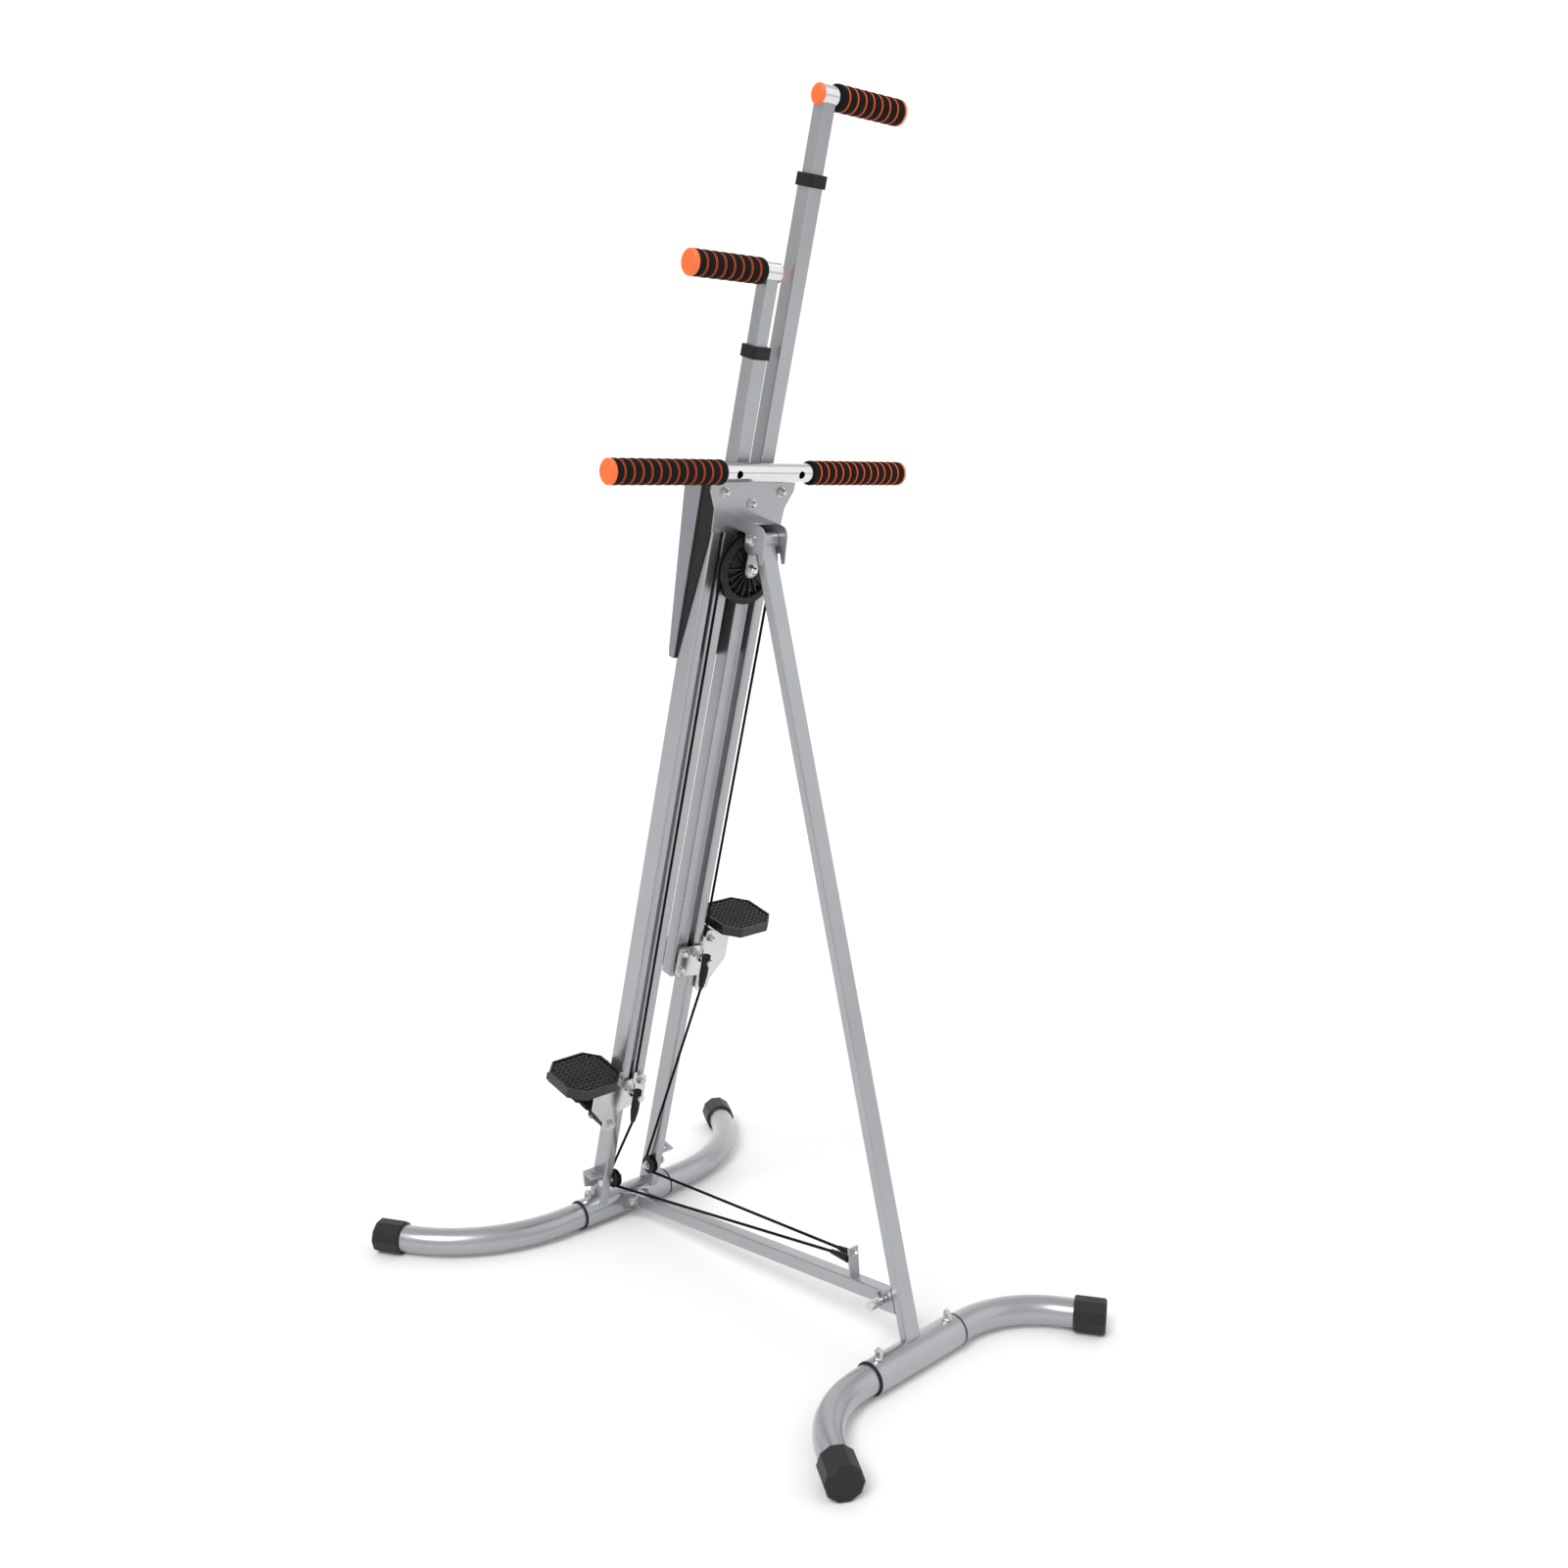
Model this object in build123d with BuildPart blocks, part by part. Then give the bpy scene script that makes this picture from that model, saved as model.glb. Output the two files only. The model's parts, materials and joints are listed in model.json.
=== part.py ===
from build123d import *
from math import asin, atan2, cos, pi, radians, sin
import os

# Vertical climber: an A-frame that stands on two bent-tube bases. Two rails lean forward from the
# rear base. A carriage with a pedal runs on each rail and carries a post with a hand grip on top,
# and one cord over a pulley makes the two carriages move opposite ways.
# Millimetres. +Z is up, -Y is the front (the support leg's side), +Y is the user's side.
# The origin is on the floor, on the middle plane.

# ---- base tubes
TUBE_RADIUS = 25.0
TUBE_WALL = 2.0
SLEEVE_RADIUS = 28.0
SLEEVE_BORE = 25.1
SLEEVE_HALF = 105.0
TUBE_Z = 30.0
REAR_Y = 368.0
FRONT_Y = -417.0
SLEEVE_BOLT_X = 86.0
FOOT_INSET = 45.0
REAR_FOOT = {"reach": 433.0, "throw": 205.0, "bend_radius": 300.0, "bend": 60.0}
FRONT_FOOT = {"reach": 328.0, "throw": 158.0, "bend_radius": 190.0, "bend": 58.0}
CAP_SIDES = 10
CAP_LENGTH = 56.0
CAP_FACE = 9.0

# ---- the leaning column: x across, n towards the front, t up along the rails
LEAN = 15.0
COLUMN_FOOT = Vector(0, REAR_Y, TUBE_Z)
UP = Vector(0, -sin(radians(LEAN)), cos(radians(LEAN)))
FRONT = Vector(0, -cos(radians(LEAN)), -sin(radians(LEAN)))
RAIL_X = 64.0
RAIL_WIDTH = 20.0
RAIL_DEPTH = 38.0
RAIL_WALL = 2.0
RAIL_TOP = 1486.0

LUG_TOP = 96.0
LUG_FLANGE = 4.0
LUG_REACH = 30.0
LUG_HALF = 14.0

# ---- head: plates, bar, bracket, pulley
PLATE_BACK = RAIL_DEPTH / 2
PLATE_THICK = 3.0
PLATE_FRONT = PLATE_BACK + PLATE_THICK
PLATE_BOTTOM = 1398.0
PLATE_BOLTS = [(-RAIL_X, 1466.0), (RAIL_X, 1466.0), (0.0, 1446.0)]
GUIDE_BOTTOM = 1428.0
GUIDE_TOP = 1506.0
BAR_RADIUS = 16.0
BAR_WALL = 2.0
BAR_N = 42.0
BAR_T = 1504.0
BAR_HALF = 322.0
BAR_BOLT_X = 70.0
GRIP_RADIUS = 20.7
FIXED_GRIP_START = 98.0
PIVOT_N = 66.0
PIVOT_T = 1396.0
EAR_X = 24.0
EAR_THICK = 3.0
WEB_TOP = 1424.0
PULLEY_T = 1340.0
PULLEY_N = 39.5
PULLEY_RADIUS = 62.0
PULLEY_WIDTH = 16.0
CORD_RADIUS = 2.5
CORD_PITCH_RADIUS = 58.5
CORD_GAP = 0.3
AXLE_RADIUS = 5.0
RUNNING_GAP = 0.05

# ---- moving carriages and posts; t values are counted from the carriage's own centre
LEFT_T = 281.0
RIGHT_T = 549.0
POST_X = 28.0
POST_SIZE = 30.0
POST_WALL = 2.0
POST_BOTTOM = -25.0
POST_TOP = 1415.0
COLLAR_SIZE = 37.0
COLLAR_HEIGHT = 20.0
COLLAR_LIP = 4.0
STEM_SIZE = 25.0
STEM_BOTTOM = 1150.0
HANDLE_T = 1533.0
HANDLE_INNER = 12.0
HANDLE_OUTER = 189.0
HANDLE_GRIP_START = 46.0
CARRIAGE_PLATE_N = 22.0
CARRIAGE_PLATE_THICK = 3.0
PLATES_OUT = CARRIAGE_PLATE_N + CARRIAGE_PLATE_THICK
ROLLER_X = 89.0
ROLLER_T = (47.0, -53.0)
ROLLER_RADIUS = ROLLER_X - RAIL_X - RAIL_WIDTH / 2 - CORD_GAP
ROLLER_WIDTH = 30.0
POST_BOLT_T = (27.0, -8.0)
LOBE_RADIUS = 17.0
POST_LOBE_RADIUS = 14.0
PEDAL_IN = 100.0
PEDAL_OUT = 221.0
PEDAL_BACK = -45.0
PEDAL_FRONT = 68.0
PEDAL_TOP = 80.0
PEDAL_THICK = 19.0
PEDAL_CORNER = 26.0
PEDAL_WALL = 4.0
PEDAL_RECESS = 4.0
PEDAL_RIM = 3.6
PEDAL_WEB = 4.0
BACK_GUSSET = [(104, -50), (168, 13), (182, 61), (104, 61), (101, 57)]
FRONT_GUSSET = [(104, -50), (138, -8), (138, 61), (104, 61), (101, 57)]
GUSSET_IN = 110.0
GUSSET_OUT = 178.0
PAD_IN = POST_X + POST_SIZE / 2
PAD_OUT = RAIL_X - RAIL_WIDTH / 2 - 0.3
PAD_HEIGHT = 60.0
BUMPERS = [(150, 2), (122, -24)]
BUMPER_RADIUS = 7.0
BUMPER_LENGTH = 14.0
STUD_X = 58.5
STUD_T = 20.0
STUD_END = 64.0
FERRULE_TOP = 66.0
BOOT_N = 54.0
BOOT_TIP_T = -38.0
BOOT_SHOULDER_T = -14.0
BOOT_RADIUS = 8.0

# ---- cord pulleys at the foot of the rails
LOW_PULLEY_X = 46.0
LOW_PULLEY_N = 15.0
LOW_PULLEY_T = 77.0
LOW_PULLEY_RADIUS = 17.5
LOW_PULLEY_WIDTH = 12.0
LOW_GROOVE_HALF = 5.3
STRETCH_RADIUS = 2.6
LOW_PITCH_RADIUS = 15.0

# ---- support leg, base beam and lock pin
LEG_WIDTH = 34.0
LEG_DEPTH = 17.0
LEG_WALL = 2.0
BARREL_RADIUS = 13.5
BARREL_HALF = 23.0
BEAM_SIZE = 25.0
BEAM_WALL = 2.0
BEAM_PIVOT = (REAR_Y - 58.0, 50.0)
LOCK_POINT = (-362.0, 112.0)
BEAM_END = 12.0
LUG_IN = 13.0
LUG_THICK = 4.0
PIN_RADIUS = 5.0
ANCHOR_Y = -282.0
ANCHOR_TOP = 168.0
ANCHOR_WIDTH = 23.0
ANCHOR_THICK = 4.0
ANCHOR_BOLT_DROP = 8.0
ANCHOR_BOLT_RADIUS = 3.0
ANCHOR_BOOT_X = 9.0
ANCHOR_BOOT_REACH = 48.0
ANCHOR_BOOT_Z = 150.0

BOLT_RADIUS = 4.0
HEAD_RADIUS = 7.5
FLAT_HEAD = 1.6
NUT_HEIGHT = 4.0
TALL_NUT_HEIGHT = 12.0
DOME_HEIGHT = 4.5

SIDES = (("left", -1, LEFT_T), ("right", 1, RIGHT_T))

os.makedirs("parts", exist_ok=True)


def point(x, n, t):
    """The place at x across, n to the front and t up the column."""
    return COLUMN_FOOT + Vector(x, 0, 0) + FRONT * n + UP * t


def spot(x, n, t):
    """Plane parallel to the column's front, centred on a point of it."""
    return Plane(origin=point(x, n, t), x_dir=(1, 0, 0), z_dir=FRONT)


def across(t, x=0.0, n=0.0):
    """Section plane of the column: local x is across, local y is to the back."""
    return Plane(origin=point(x, n, t), x_dir=(1, 0, 0), z_dir=UP)


def face(n):
    """Plane parallel to the column's front: local x is across, local y is up the column."""
    return Plane(origin=point(0, n, 0), x_dir=(1, 0, 0), z_dir=FRONT)


def side_plane(x):
    """Plane on the column's side: local x is to the front, local y is up; extrudes towards -X."""
    return Plane(origin=point(x, 0, 0), x_dir=FRONT, z_dir=(-1, 0, 0))


def upright(x):
    """Plane across the machine: local x is +Y, local y is +Z; extrudes towards +X."""
    return Plane(origin=(x, 0, 0), x_dir=(0, 1, 0), z_dir=(1, 0, 0))


def disc(plane, radius, amount, sides=0, taper=0):
    """Adds a round or many-sided disc to the open part, standing on the plane."""
    with BuildSketch(plane) as outline:
        if sides:
            RegularPolygon(radius, sides)
        else:
            Circle(radius)
    extrude(outline.sketch, amount=amount, taper=taper)


def rod(start, end, radius):
    """Adds a round bar between two points to the open part."""
    disc(Plane(origin=start, z_dir=end - start), radius, (end - start).length)


def bolt(start, end, radius=BOLT_RADIUS, head=HEAD_RADIUS, head_height=4.5, head_sides=6,
         nut_height=NUT_HEIGHT):
    """Adds a bolt whose head sits behind start, with a washer and dome nut beyond end."""
    run = (end - start).normalized()
    rod(start - run * 0.5, end + run * 2.0, radius)
    disc(Plane(origin=start, z_dir=run * -1), head, head_height, head_sides)
    disc(Plane(origin=end, z_dir=run), head * 1.15, 1.5)
    disc(Plane(origin=end + run * 1.5, z_dir=run), head * 0.95, nut_height, 6)
    disc(Plane(origin=end + run * (1.5 + nut_height), z_dir=run), head * 0.78, DOME_HEIGHT, taper=28)


def foot_ends(foot):
    """How far the foot runs straight before its bend, and how long its tail is after it."""
    turn = radians(foot["bend"])
    tail = (foot["throw"] - foot["bend_radius"] * (1 - cos(turn))) / sin(turn)
    straight = foot["reach"] - foot["bend_radius"] * sin(turn) - tail * cos(turn)
    return straight, tail - CAP_FACE


# ---- lugs welded to the rear sleeve: the beam's fork, and a drilled angle tab beside each rail
with BuildPart() as lugs:
    for x in (-LUG_IN - LUG_THICK, LUG_IN):
        with BuildSketch(upright(x)):
            with BuildLine():
                Polyline((REAR_Y - 20, TUBE_Z - 12), (REAR_Y - 20, TUBE_Z + 24), (BEAM_PIVOT[0], 66))
                ThreePointArc((BEAM_PIVOT[0], 66), (BEAM_PIVOT[0] - 16, 50), (BEAM_PIVOT[0], 34))
                Line((BEAM_PIVOT[0], 34), (REAR_Y - 20, TUBE_Z - 12))
            make_face()
            with Locations(BEAM_PIVOT):
                Circle(AXLE_RADIUS + 0.1, mode=Mode.SUBTRACT)
        extrude(amount=LUG_THICK)
    with BuildSketch(Plane(origin=(-SLEEVE_HALF, REAR_Y, TUBE_Z), z_dir=(1, 0, 0))):
        Circle(SLEEVE_RADIUS)
    extrude(amount=2 * SLEEVE_HALF, mode=Mode.SUBTRACT)
    for hand in (-1, 1):
        rail_face = RAIL_X + RAIL_WIDTH / 2
        with BuildSketch(across(LUG_TOP - LUG_FLANGE)):
            with Locations((hand * (rail_face + LUG_REACH / 2), 0)):
                Rectangle(LUG_REACH, 2 * LUG_HALF)
            with Locations((hand * (rail_face + LUG_REACH / 2), 0)):
                Circle(6, mode=Mode.SUBTRACT)
        extrude(amount=LUG_FLANGE)
        with BuildSketch(face(-LUG_HALF)):
            with BuildLine():
                Polyline((hand * rail_face, LUG_TOP - LUG_FLANGE),
                         (hand * (rail_face + LUG_REACH), LUG_TOP - LUG_FLANGE),
                         (hand * (rail_face + LUG_REACH * 0.7), 58), (hand * rail_face, 52),
                         (hand * rail_face, LUG_TOP - LUG_FLANGE))
            make_face()
        extrude(amount=LUG_FLANGE)

# ---- rear and front bases
BASES = (("rear", REAR_Y, 1, REAR_FOOT), ("front", FRONT_Y, -1, FRONT_FOOT))
for base, base_y, outward, foot in BASES:
    with BuildPart() as sleeve:
        with BuildSketch(Plane(origin=(-SLEEVE_HALF, base_y, TUBE_Z), z_dir=(1, 0, 0))):
            Circle(SLEEVE_RADIUS)
            Circle(SLEEVE_BORE, mode=Mode.SUBTRACT)
        extrude(amount=2 * SLEEVE_HALF)
        with BuildSketch(Plane.XY):
            with Locations((-SLEEVE_BOLT_X, base_y), (SLEEVE_BOLT_X, base_y)):
                Circle(BOLT_RADIUS + 0.2)
        extrude(amount=2 * TUBE_Z, mode=Mode.SUBTRACT)
        if base == "rear":
            add(lugs.part)
    sleeve.part.label = f"{base}_sleeve"
    export_step(sleeve.part, f"parts/{base}_sleeve.step")

    straight, tail = foot_ends(foot)
    cap_planes = []
    for side, hand in (("left", -1), ("right", 1)):
        with BuildPart() as tube:
            with BuildLine() as spine:
                inner = Line((hand * FOOT_INSET, base_y, TUBE_Z), (hand * straight, base_y, TUBE_Z))
                bend = JernArc(inner @ 1, inner % 1, foot["bend_radius"], hand * outward * foot["bend"])
                Line(bend @ 1, bend @ 1 + (bend % 1) * tail)
            wire = spine.wire()
            with BuildSketch(Plane(origin=wire @ 0, z_dir=wire % 0)):
                Circle(TUBE_RADIUS)
                Circle(TUBE_RADIUS - TUBE_WALL, mode=Mode.SUBTRACT)
            sweep(path=wire)
            with BuildSketch(Plane.XY):
                with Locations((hand * SLEEVE_BOLT_X, base_y)):
                    Circle(BOLT_RADIUS + 0.2)
            extrude(amount=2 * TUBE_Z, mode=Mode.SUBTRACT)
        tube.part.label = f"{base}_{side}_foot"
        export_step(tube.part, f"parts/{base}_{side}_foot.step")
        end, along = wire @ 1, wire % 1
        level = Vector(-along.Y, along.X, 0)
        cap_planes.append(Plane(origin=end + along * CAP_FACE, x_dir=level, z_dir=along * -1))

    with BuildPart() as caps:
        for cap_plane in cap_planes:
            with BuildSketch(cap_plane):
                RegularPolygon(TUBE_Z, CAP_SIDES, major_radius=False)
            extrude(amount=CAP_LENGTH)
        chamfer(caps.faces().filter_by(lambda f: f.area > 2500).edges(), 3)
        for cap_plane in cap_planes:
            with BuildSketch(cap_plane.offset(CAP_FACE)):
                Circle(TUBE_RADIUS + 0.1)
            extrude(amount=CAP_LENGTH, mode=Mode.SUBTRACT)
    caps.part.label = f"{base}_end_caps"
    export_step(caps.part, f"parts/{base}_end_caps.step")

with BuildPart() as front_bolts:
    for x in (-SLEEVE_BOLT_X, SLEEVE_BOLT_X):
        bolt(Vector(x, FRONT_Y, TUBE_Z - SLEEVE_RADIUS), Vector(x, FRONT_Y, TUBE_Z + SLEEVE_RADIUS),
             head_height=FLAT_HEAD, head_sides=0, nut_height=TALL_NUT_HEIGHT)
front_bolts.part.label = "front_sleeve_bolts"
export_step(front_bolts.part, "parts/front_sleeve_bolts.step")

# ---- fixed rails, coped onto the rear sleeve
for side, hand, _ in SIDES:
    with BuildPart() as rail:
        with BuildSketch(across(0, x=hand * RAIL_X)):
            RectangleRounded(RAIL_WIDTH, RAIL_DEPTH, 3)
            RectangleRounded(RAIL_WIDTH - 2 * RAIL_WALL, RAIL_DEPTH - 2 * RAIL_WALL, 1, mode=Mode.SUBTRACT)
        extrude(amount=RAIL_TOP)
        with BuildSketch(Plane(origin=(-SLEEVE_HALF, REAR_Y, TUBE_Z), z_dir=(1, 0, 0))):
            Circle(SLEEVE_RADIUS)
        extrude(amount=2 * SLEEVE_HALF, mode=Mode.SUBTRACT)
        with BuildSketch(face(-RAIL_DEPTH)):
            with Locations((hand * RAIL_X, PLATE_BOLTS[0][1])):
                Circle(BOLT_RADIUS + 0.2)
        extrude(amount=2 * RAIL_DEPTH, mode=Mode.SUBTRACT)
        with BuildSketch(side_plane(0)):
            with Locations((LOW_PULLEY_N, LOW_PULLEY_T)):
                Circle(BOLT_RADIUS + 0.2)
        extrude(amount=-hand * 2 * RAIL_X, mode=Mode.SUBTRACT)
    rail.part.label = f"{side}_rail"
    export_step(rail.part, f"parts/{side}_rail.step")

# ---- bolts low on the frame: rear sleeve, beam pivot and cord pulley axles
with BuildPart() as base_bolts:
    for x in (-SLEEVE_BOLT_X, SLEEVE_BOLT_X):
        bolt(Vector(x, REAR_Y, TUBE_Z - SLEEVE_RADIUS), Vector(x, REAR_Y, TUBE_Z + SLEEVE_RADIUS),
             head_height=FLAT_HEAD, head_sides=0, nut_height=TALL_NUT_HEIGHT)
    lug_out = LUG_IN + LUG_THICK
    bolt(Vector(lug_out, *BEAM_PIVOT), Vector(-lug_out, *BEAM_PIVOT), AXLE_RADIUS, 8.5)
    for hand in (-1, 1):
        outer = RAIL_X + RAIL_WIDTH / 2
        inner = LOW_PULLEY_X - LOW_PULLEY_WIDTH / 2 - 0.8
        bolt(point(hand * outer, LOW_PULLEY_N, LOW_PULLEY_T), point(hand * inner, LOW_PULLEY_N, LOW_PULLEY_T))
        rod(point(hand * (RAIL_X - RAIL_WIDTH / 2), LOW_PULLEY_N, LOW_PULLEY_T),
            point(hand * (LOW_PULLEY_X + LOW_PULLEY_WIDTH / 2 + 0.3), LOW_PULLEY_N, LOW_PULLEY_T), 7)
base_bolts.part.label = "base_bolts"
export_step(base_bolts.part, "parts/base_bolts.step")

# ---- small grooved pulleys that turn the stretch cords forward
for side, hand, _ in SIDES:
    with BuildPart() as low_pulley:
        half = LOW_PULLEY_WIDTH / 2
        centre = point(hand * LOW_PULLEY_X, LOW_PULLEY_N, LOW_PULLEY_T)
        axle_plane = Plane(origin=centre, x_dir=FRONT, z_dir=(-1, 0, 0))
        with BuildSketch(axle_plane.offset(-half)):
            Circle(LOW_PULLEY_RADIUS)
            Circle(BOLT_RADIUS + RUNNING_GAP, mode=Mode.SUBTRACT)
        extrude(amount=2 * half)
        with BuildSketch(Plane(origin=centre, x_dir=UP, z_dir=UP.cross(Vector(-1, 0, 0)))):
            with Locations((LOW_PITCH_RADIUS - STRETCH_RADIUS - 2 * CORD_GAP + 5, 0)):
                RectangleRounded(10, 2 * LOW_GROOVE_HALF, 0.8)
        revolve(axis=Axis(centre, (1, 0, 0)), mode=Mode.SUBTRACT)
    low_pulley.part.label = f"{side}_cord_pulley"
    export_step(low_pulley.part, f"parts/{side}_cord_pulley.step")

# ---- head plates
with BuildPart() as head_plates:
    with BuildSketch(face(PLATE_BACK)) as outline:
        with BuildLine():
            Polyline((-77, PLATE_BOTTOM), (-79, 1438), (-94, 1468), (-94, 1486), (-64, 1488), (-64, 1514),
                     (-17, 1514), (-13, 1507), (13, 1507), (17, 1514), (64, 1514), (64, 1488), (94, 1486),
                     (94, 1468), (79, 1438), (77, PLATE_BOTTOM), (-77, PLATE_BOTTOM))
        make_face()
        fillet(outline.vertices().group_by(Axis.Z)[2:5], 6)
        with Locations(*PLATE_BOLTS):
            Circle(BOLT_RADIUS + 0.2, mode=Mode.SUBTRACT)
    extrude(amount=PLATE_THICK)
    with BuildSketch(face(PLATE_FRONT)):
        with Locations((-BAR_BOLT_X, BAR_T), (BAR_BOLT_X, BAR_T)):
            Rectangle(22, 20)
    extrude(amount=BAR_N - PLATE_FRONT - 8)
    with BuildSketch(side_plane(BAR_HALF)):
        with Locations((BAR_N, BAR_T)):
            Circle(BAR_RADIUS)
    extrude(amount=2 * BAR_HALF, mode=Mode.SUBTRACT)
    with BuildSketch(face(0)):
        with Locations((-BAR_BOLT_X, BAR_T), (BAR_BOLT_X, BAR_T)):
            Circle(BOLT_RADIUS + 0.2)
    extrude(amount=2 * BAR_N, mode=Mode.SUBTRACT)
    with BuildSketch(face(-PLATE_FRONT)):
        with Locations((0, 1455)):
            RectangleRounded(2 * (RAIL_X + RAIL_WIDTH / 2) - 2, 70, 8)
        with Locations(*PLATE_BOLTS):
            Circle(BOLT_RADIUS + 0.2, mode=Mode.SUBTRACT)
    extrude(amount=PLATE_THICK)
head_plates.part.label = "head_plates"
export_step(head_plates.part, "parts/head_plates.step")

# ---- guide block that both posts slide through, between the rails
with BuildPart() as guide:
    with BuildSketch(across(GUIDE_BOTTOM)):
        Rectangle(2 * (RAIL_X - RAIL_WIDTH / 2), RAIL_DEPTH)
        with Locations((-POST_X, 0), (POST_X, 0)):
            Rectangle(POST_SIZE + 0.8, POST_SIZE + 0.8, mode=Mode.SUBTRACT)
    extrude(amount=GUIDE_TOP - GUIDE_BOTTOM)
    with BuildSketch(face(-RAIL_DEPTH)):
        with Locations(PLATE_BOLTS[2]):
            Circle(BOLT_RADIUS + 0.2)
    extrude(amount=2 * RAIL_DEPTH, mode=Mode.SUBTRACT)
guide.part.label = "post_guide"
export_step(guide.part, "parts/post_guide.step")

# ---- fixed handlebar, its foam grips and end caps
with BuildPart() as bar:
    with BuildSketch(side_plane(BAR_HALF)):
        with Locations((BAR_N, BAR_T)):
            Circle(BAR_RADIUS)
            Circle(BAR_RADIUS - BAR_WALL, mode=Mode.SUBTRACT)
    extrude(amount=2 * BAR_HALF)
    with BuildSketch(face(0)):
        with Locations((-BAR_BOLT_X, BAR_T), (BAR_BOLT_X, BAR_T)):
            Circle(BOLT_RADIUS + 0.2)
    extrude(amount=BAR_N, mode=Mode.SUBTRACT)
    with BuildSketch(face(BAR_N)):
        with Locations((-BAR_BOLT_X, BAR_T), (BAR_BOLT_X, BAR_T)):
            Circle(6.5)
    extrude(amount=BAR_N, mode=Mode.SUBTRACT)
bar.part.label = "handlebar"
export_step(bar.part, "parts/handlebar.step")

with BuildPart() as fixed_grips:
    for start in (-FIXED_GRIP_START, BAR_HALF):
        with BuildSketch(side_plane(start)):
            with Locations((BAR_N, BAR_T)):
                Circle(GRIP_RADIUS)
                Circle(BAR_RADIUS, mode=Mode.SUBTRACT)
        extrude(amount=BAR_HALF - FIXED_GRIP_START)
fixed_grips.part.label = "fixed_grips"
export_step(fixed_grips.part, "parts/fixed_grips.step")


def end_cap(x, n, t, outward, radius, rim=4.0):
    """Adds a domed cap on the end of a tube that runs across the machine."""
    plane = Plane(origin=point(x, n, t), x_dir=FRONT, z_dir=(outward, 0, 0))
    disc(plane, radius, rim)
    disc(plane.offset(rim), radius, 3.5, taper=50)


with BuildPart() as bar_caps:
    for hand in (-1, 1):
        end_cap(hand * BAR_HALF, BAR_N, BAR_T, hand, GRIP_RADIUS - 0.4)
bar_caps.part.label = "fixed_bar_caps"
export_step(bar_caps.part, "parts/fixed_bar_caps.step")

# ---- hooked bracket for the support leg's pivot, and the yoke that holds the pulley
YOKE_THICK = 2.5
YOKE_TOP = 1391.0
YOKE_BACK = PULLEY_N - PULLEY_WIDTH / 2 - 2.0 - YOKE_THICK
YOKE_FRONT = PULLEY_N + PULLEY_WIDTH / 2 + 1.2
with BuildPart() as bracket:
    for x in (EAR_X + EAR_THICK, -EAR_X):
        with BuildSketch(side_plane(x)):
            with BuildLine():
                Polyline((PLATE_FRONT, WEB_TOP), (76, WEB_TOP))
                TangentArc((76, WEB_TOP), (94, 1406), tangent=(1, 0))
                Polyline((94, 1406), (99, 1364), (94, 1362), (84, 1380))
                ThreePointArc((84, 1380), (67, 1372), (50, 1384))
                Polyline((50, 1384), (49, 1404), (PLATE_FRONT, 1404), (PLATE_FRONT, WEB_TOP))
            make_face()
            with Locations((PIVOT_N, PIVOT_T)):
                Circle(AXLE_RADIUS + 0.1, mode=Mode.SUBTRACT)
        extrude(amount=EAR_THICK)
    with BuildSketch(face(PLATE_FRONT)):
        with Locations((0, WEB_TOP - EAR_THICK / 2)):
            Rectangle(2 * EAR_X, EAR_THICK)
    extrude(amount=38)
    with BuildSketch(face(YOKE_BACK)):
        with Locations((0, (PULLEY_T + WEB_TOP - EAR_THICK) / 2)):
            Rectangle(28, WEB_TOP - EAR_THICK - PULLEY_T)
        with Locations((0, PULLEY_T)):
            Circle(14)
            Circle(AXLE_RADIUS + 0.1, mode=Mode.SUBTRACT)
    extrude(amount=YOKE_THICK)
    with BuildSketch(face(YOKE_FRONT)):
        with Locations((0, (PULLEY_T + YOKE_TOP) / 2)):
            Rectangle(28, YOKE_TOP - PULLEY_T)
        with Locations((0, YOKE_TOP - 4)):
            Rectangle(2 * EAR_X, 8)
        with Locations((0, PULLEY_T)):
            Circle(14)
            Circle(AXLE_RADIUS + 0.1, mode=Mode.SUBTRACT)
    extrude(amount=YOKE_THICK)
bracket.part.label = "pivot_bracket"
export_step(bracket.part, "parts/pivot_bracket.step")

# ---- bolts of the head: plates, handlebar, leg pivot and pulley axle
with BuildPart() as head_bolts:
    for x, t in PLATE_BOLTS:
        bolt(point(x, -PLATE_FRONT, t), point(x, PLATE_FRONT, t))
    for x in (-BAR_BOLT_X, BAR_BOLT_X):
        rod(point(x, PLATE_BACK, BAR_T), point(x, BAR_N, BAR_T), BOLT_RADIUS)
        rod(point(x, BAR_N - BAR_RADIUS + 2 * BAR_WALL, BAR_T), point(x, BAR_N + 4, BAR_T), 6)
    ear_out = EAR_X + EAR_THICK
    bolt(point(ear_out, PIVOT_N, PIVOT_T), point(-ear_out, PIVOT_N, PIVOT_T), AXLE_RADIUS, 8.5)
    bolt(point(0, YOKE_BACK, PULLEY_T), point(0, YOKE_FRONT + YOKE_THICK, PULLEY_T), AXLE_RADIUS, 8.5)
head_bolts.part.label = "head_bolts"
export_step(head_bolts.part, "parts/head_bolts.step")

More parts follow.
